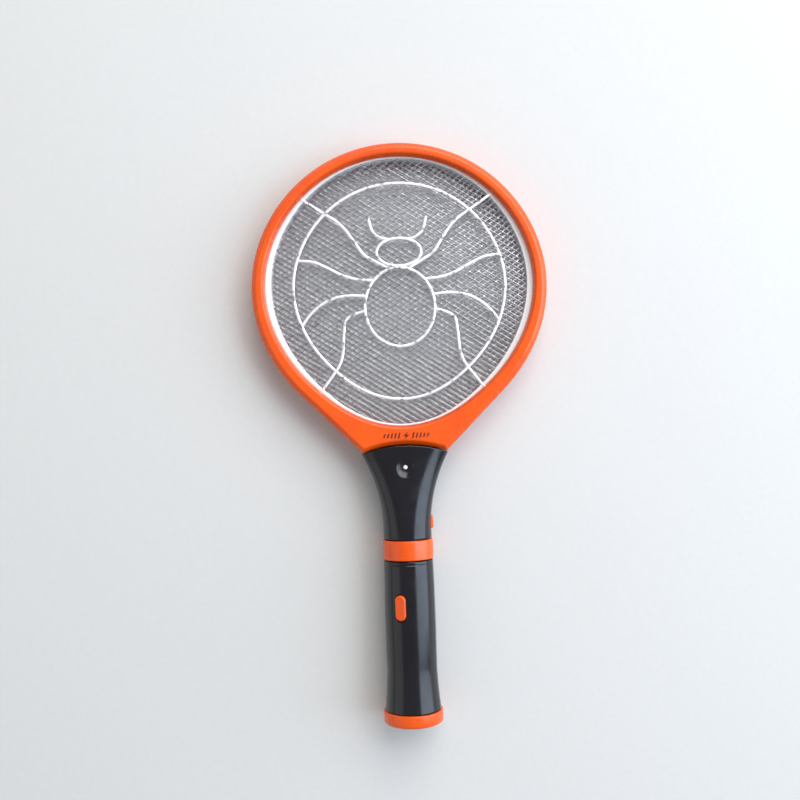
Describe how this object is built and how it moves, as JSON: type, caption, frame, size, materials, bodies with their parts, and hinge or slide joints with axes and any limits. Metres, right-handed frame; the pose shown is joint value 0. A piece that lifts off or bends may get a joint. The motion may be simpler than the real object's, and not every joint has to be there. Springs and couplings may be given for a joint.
{
  "type": "electric fly swatter",
  "caption": "Racket-shaped electric fly swatter: round double-sided mesh head in a rounded frame, flared neck, locking collar and a twist-off torch grip with an oval press button.",
  "frame": {"origin": "under the middle of the length, on the plane the swatter lies on", "axes": "+Y from the torch's end face to the head, +Z out of the front of the head"},
  "size_m": [0.2112, 0.414, 0.0424],
  "materials": {
    "orange_plastic": "gloss",
    "black_plastic": "gloss",
    "white_plastic": "satin",
    "mesh_metal": "satin",
    "steel": "satin",
    "brass": "satin",
    "reflector_chrome": "polished",
    "clear_plastic": "clear",
    "circuit_board": "matte",
    "ferrite": "matte",
    "winding_tape": "satin",
    "capacitor_case": "gloss",
    "black_rubber": "matte",
    "cell_sleeve": "gloss"
  },
  "bodies": {
    "racket": {"front_frame": "orange_plastic", "rear_frame": "orange_plastic", "front_spacer_ring": "white_plastic", "rear_spacer_ring": "white_plastic", "front_guard": "mesh_metal", "rear_guard": "mesh_metal", "electrode_grid": "mesh_metal", "frame_screw_left": "steel", "frame_screw_right": "steel", "electrode_lead": "brass", "guard_lead": "brass", "neck_front_shell": "black_plastic", "neck_rear_shell": "black_plastic", "neck_screw_left": "steel", "neck_screw_right": "steel", "neck_led": "clear_plastic", "slide_switch_body": "black_plastic", "hv_board": "circuit_board", "transformer_core": "ferrite", "transformer_winding": "winding_tape", "hv_capacitor": "capacitor_case", "rectifier_diode_1": "black_rubber", "rectifier_diode_2": "black_rubber", "rectifier_diode_3": "black_rubber", "bleed_resistor": "capacitor_case", "base_resistor": "capacitor_case", "drive_transistor": "black_rubber", "neck_contact_plate": "circuit_board"},
    "side_switch": {"side_switch_knob": "orange_plastic"},
    "lock_ring": {"lock_collar": "orange_plastic"},
    "torch": {"grip_front_shell": "black_plastic", "grip_rear_shell": "black_plastic", "grip_screw": "steel", "tact_switch": "steel", "button_board": "circuit_board", "battery_cell_1": "cell_sleeve", "battery_cell_2": "cell_sleeve", "cell_spring_1": "steel", "cell_spring_2": "steel", "spring_plate": "brass", "cell_link_plate": "brass", "torch_contact_plate": "circuit_board", "contact_pin_left": "brass", "contact_pin_right": "brass", "reflector": "reflector_chrome", "torch_led": "clear_plastic", "led_board": "circuit_board"},
    "button": {"press_button": "orange_plastic"},
    "bezel_cap": {"bezel": "orange_plastic", "torch_lens": "clear_plastic", "lens_gasket": "black_rubber"}
  },
  "joints": [
    {"name": "side_switch_slide", "type": "slide", "parent": "racket", "child": "side_switch", "axis": [0, 1, 0], "range_m": [0, 0.005]},
    {"name": "torch_twist", "type": "hinge", "parent": "racket", "child": "lock_ring", "pos_m": [0, -0.0847, 0.0212], "axis": [0, 1, 0], "range_deg": [0, 22.5]},
    {"name": "torch_pull", "type": "slide", "parent": "lock_ring", "child": "torch", "axis": [0, -1, 0], "range_m": [0, 0.02]},
    {"name": "bezel_unscrew", "type": "hinge", "parent": "torch", "child": "bezel_cap", "pos_m": [0, -0.207, 0.0212], "axis": [0, -1, 0], "range_deg": [0, 360]},
    {"name": "button_press", "type": "slide", "parent": "torch", "child": "button", "axis": [0.3827, 0, -0.9239], "range_m": [0, 0.0015], "stiffness_N_per_m": 600, "springref_m": -0.0015}
  ]
}
